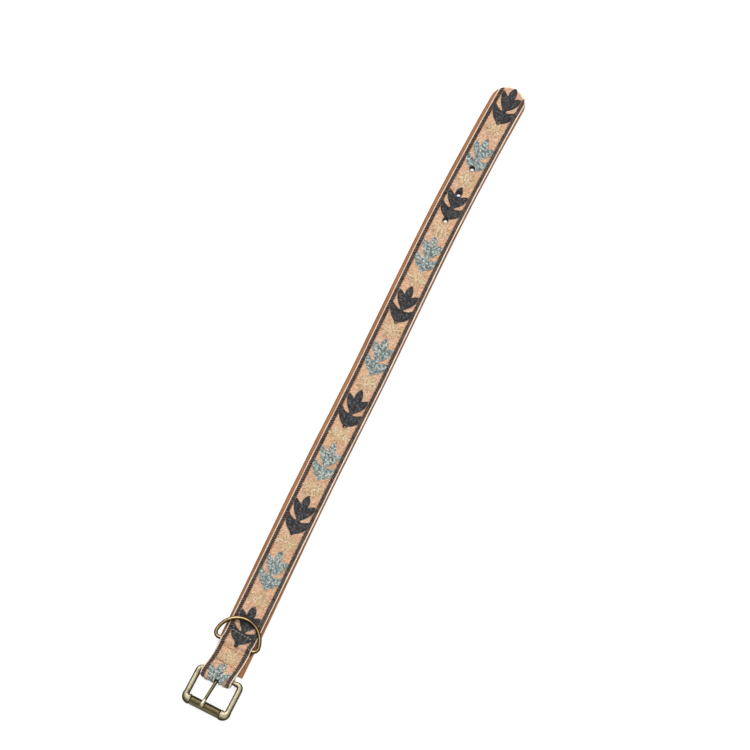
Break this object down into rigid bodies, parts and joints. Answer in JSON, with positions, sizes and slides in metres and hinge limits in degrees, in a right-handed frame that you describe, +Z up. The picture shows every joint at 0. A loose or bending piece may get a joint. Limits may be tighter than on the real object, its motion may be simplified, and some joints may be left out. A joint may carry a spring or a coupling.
{
  "type": "buckle pet collar",
  "caption": "Flat leather collar with an embroidered cloth face, roller buckle, sewn-in D-ring and punched holes, laid out straight.",
  "frame": {"origin": "on the leather's back face, half way between the rounded tip and the fold round the buckle bar, on the leather's centre line", "axes": "+X along the strap from the rounded tip to the buckle, +Y across it, +Z up off the embroidered face"},
  "size_m": [0.5694, 0.0396, 0.0097],
  "materials": {
    "leather": "vegetable-tanned brown leather, burnished edges",
    "cloth": "plain-woven tan cotton with cream turned edges",
    "charcoal_thread": "matt wool-like embroidery thread",
    "blue_thread": "soft blue-grey embroidery thread",
    "cream_thread": "soft cream embroidery thread",
    "seam_thread": "waxed brown sewing thread",
    "antique_brass": "antique brass plate, brushed high spots",
    "roller_brass": "darker antique brass, drawn tube"
  },
  "bodies": {
    "strap": {"leather_backing": "leather", "embroidered_cloth": "cloth", "border_left": "charcoal_thread", "border_right": "charcoal_thread", "long_seam_left": "seam_thread", "long_seam_right": "seam_thread", "cross_seam_1": "seam_thread", "cross_seam_2": "seam_thread", "cross_seam_3": "seam_thread", "dark_flower_1": "charcoal_thread", "dark_flower_2": "charcoal_thread", "dark_flower_3": "charcoal_thread", "dark_flower_4": "charcoal_thread", "dark_flower_5": "charcoal_thread", "dark_flower_6": "charcoal_thread", "blue_flower_1": "blue_thread", "blue_flower_2": "blue_thread", "blue_flower_3": "blue_thread", "blue_flower_4": "blue_thread", "blue_flower_5": "blue_thread", "blue_flower_6": "blue_thread", "cream_rosette_1": "cream_thread", "cream_rosette_2": "cream_thread", "cream_rosette_3": "cream_thread", "cream_rosette_4": "cream_thread", "cream_rosette_5": "cream_thread", "cream_rosette_6": "cream_thread", "cream_rosette_7": "cream_thread", "cream_rosette_8": "cream_thread", "cream_rosette_9": "cream_thread", "cream_rosette_10": "cream_thread", "cream_rosette_11": "cream_thread"},
    "buckle": {"buckle_frame": "antique_brass"},
    "roller": {"roller": "roller_brass"},
    "prong": {"prong": "antique_brass"},
    "d_ring": {"d_ring": "antique_brass"}
  },
  "joints": [
    {"name": "buckle_tilt", "type": "hinge", "parent": "strap", "child": "buckle", "pos_m": [0.2659, 0.0006, 0.004], "axis": [-0.0384, -0.9993, 0], "range_deg": [-20, 30]},
    {"name": "prong_swing", "type": "hinge", "parent": "buckle", "child": "prong", "pos_m": [0.2659, 0.0006, 0.004], "axis": [-0.0384, -0.9993, 0], "range_deg": [0, 75]},
    {"name": "roller_spin", "type": "hinge", "parent": "buckle", "child": "roller", "pos_m": [0.29138, -0.00038, 0.004], "axis": [0.0384, 0.9993, 0], "continuous": true},
    {"name": "ring_swing", "type": "hinge", "parent": "strap", "child": "d_ring", "pos_m": [0.2389, 0, 0.0044], "axis": [0, 1, 0], "range_deg": [0, 158]}
  ]
}
